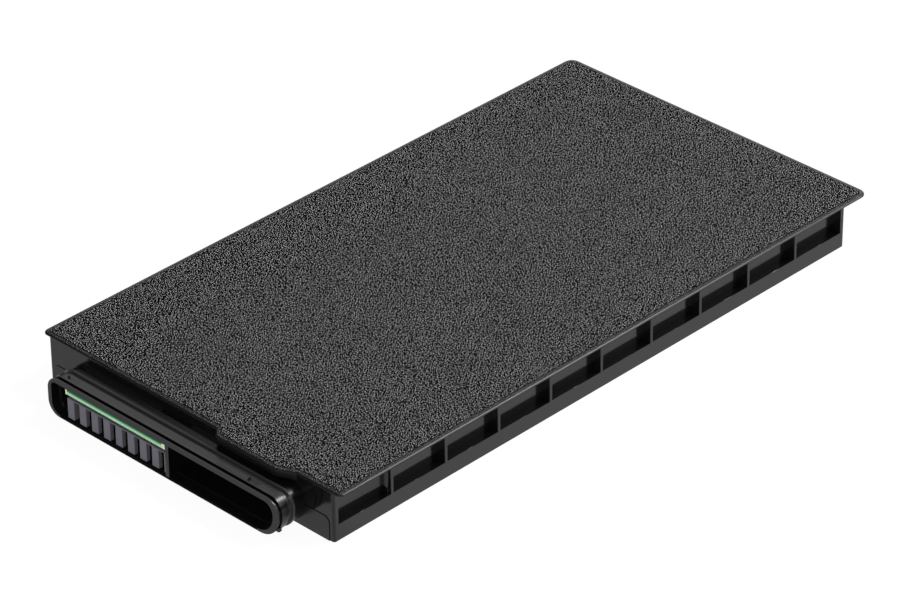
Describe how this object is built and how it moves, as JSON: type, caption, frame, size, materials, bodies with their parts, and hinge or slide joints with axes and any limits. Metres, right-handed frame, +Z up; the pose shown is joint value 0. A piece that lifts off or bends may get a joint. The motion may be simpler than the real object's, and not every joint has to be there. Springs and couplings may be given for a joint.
{
  "type": "tablet battery",
  "caption": "Flat slide-in battery pack for a tablet: a ribbed moulded tray under a grained cover, with a sealed round-ended snout that holds a slotted blade connector.",
  "frame": {"origin": "middle of the bottom of the pack's box", "axes": "+X along the pack, away from its connector snout; +Y to the connector's side; +Z up, out of the cover"},
  "size_m": [0.1156, 0.0604, 0.0083],
  "materials": {
    "grained_plastic": "coarse moulded grain",
    "tray_plastic": "satin",
    "snout_plastic": "satin",
    "seal_rubber": "matt",
    "board_laminate": "solder mask with bare cut edges",
    "connector_plastic": "satin",
    "gilt_bronze": "plated",
    "cell_foil": "laminated foil",
    "nickel_strip": "bare",
    "amber_film": "gloss",
    "white_tape": "matt",
    "grey_foam": "open cells",
    "chip_epoxy": "moulded",
    "component_ceramic": "fired"
  },
  "bodies": {
    "root": {"top_cover": "grained_plastic", "housing_tray": "tray_plastic", "connector_snout": "snout_plastic", "snout_seal": "seal_rubber", "protection_board": "board_laminate", "connector_housing": "connector_plastic", "connector_contacts": "gilt_bronze", "cell_left": "cell_foil", "cell_right": "cell_foil", "cell_tabs": "nickel_strip", "tab_pads": "nickel_strip", "insulating_sheet": "amber_film", "cell_tape_left": "white_tape", "cell_tape_right": "white_tape", "foam_strip_left": "grey_foam", "foam_strip_right": "grey_foam", "fuel_gauge_chip": "chip_epoxy", "protection_mosfets": "chip_epoxy", "overcharge_fuse": "component_ceramic", "sense_resistor": "chip_epoxy", "chip_capacitors": "component_ceramic", "cell_thermistor": "component_ceramic"}
  },
  "joints": []
}
